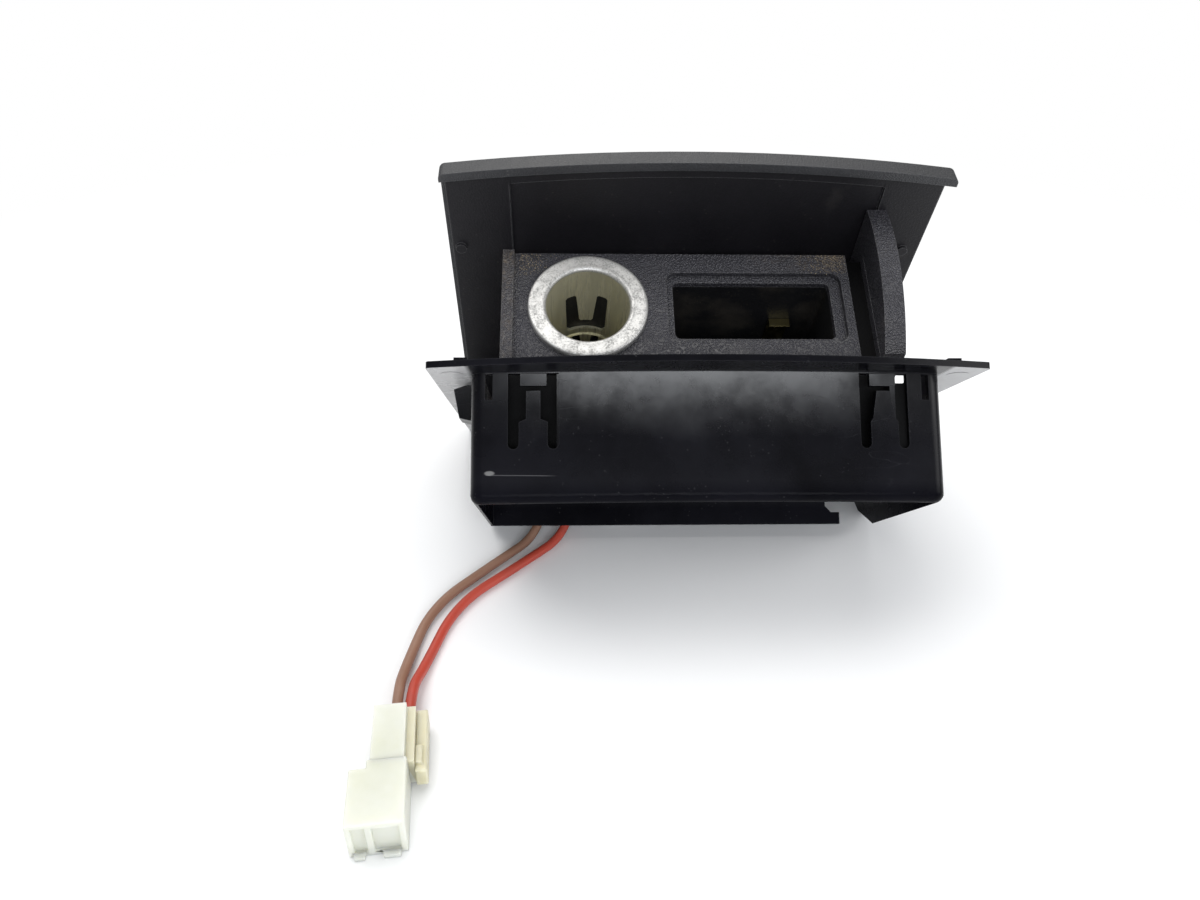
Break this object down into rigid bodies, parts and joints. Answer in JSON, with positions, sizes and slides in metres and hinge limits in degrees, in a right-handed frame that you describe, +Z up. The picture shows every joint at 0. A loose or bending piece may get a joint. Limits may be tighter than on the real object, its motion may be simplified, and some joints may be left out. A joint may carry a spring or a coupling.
{
  "type": "car cigarette lighter",
  "caption": "Tilt-out console drawer with an empty lighter socket and a small cup, in a flanged snap-in frame; its leads end in a pale plug connector.",
  "frame": {"origin": "on the floor under the middle of the resting unit, its leads and plug left out", "axes": "+X along the flange to the viewer's right, +Y away from the viewer, +Z up"},
  "size_m": [0.1452, 0.1581, 0.1035],
  "materials": {
    "housing_black": "gloss black ABS, lightly scuffed",
    "pin_steel": "plain steel",
    "lid_grey": "fine-grained satin charcoal",
    "backing_grey": "matte charcoal",
    "carrier_grey": "grained charcoal, dusty",
    "cup_black": "smooth heat-proof black",
    "socket_zinc": "zinc-plated steel, speckled with corrosion",
    "sleeve_black": "black heat-proof tube",
    "spring_brass": "tarnished brass",
    "insulator_brown": "pressed fibre board",
    "boot_clear": "pale terminal boot",
    "cover_red": "red cable cover",
    "cover_brown": "brown cable cover",
    "clip_black": "matte black",
    "plug_white": "natural nylon",
    "lock_ivory": "yellowed nylon"
  },
  "bodies": {
    "housing": {"housing": "housing_black", "pivot_pin_left": "pin_steel", "pivot_pin_right": "pin_steel", "cable_clip": "clip_black", "detent_leaf": "pin_steel", "detent_screw": "pin_steel", "wire_brown": "cover_brown", "wire_red": "cover_red", "connector_neck": "plug_white", "connector_shell": "plug_white", "connector_lock": "lock_ivory", "connector_pin_a": "spring_brass", "connector_pin_b": "spring_brass"},
    "drawer": {"lid_cover": "lid_grey", "lid_backing": "backing_grey", "drawer_carrier": "carrier_grey", "drawer_cup": "cup_black", "socket_barrel": "socket_zinc", "inner_washer": "socket_zinc", "earth_tab": "socket_zinc", "socket_sleeve": "sleeve_black", "bimetal_clip": "spring_brass", "contact_rivet": "spring_brass", "positive_tab": "spring_brass", "cup_spring": "spring_brass", "cup_rivet": "spring_brass", "socket_insulator": "insulator_brown", "terminal_red": "boot_clear", "terminal_brown": "boot_clear", "lead_red": "cover_red", "lead_brown": "cover_brown"}
  },
  "joints": [
    {"name": "drawer_tilt", "type": "hinge", "parent": "housing", "child": "drawer", "pos_m": [0, 0.04274, 0.00423], "axis": [1, 0, 0], "range_deg": [0, 29]}
  ]
}
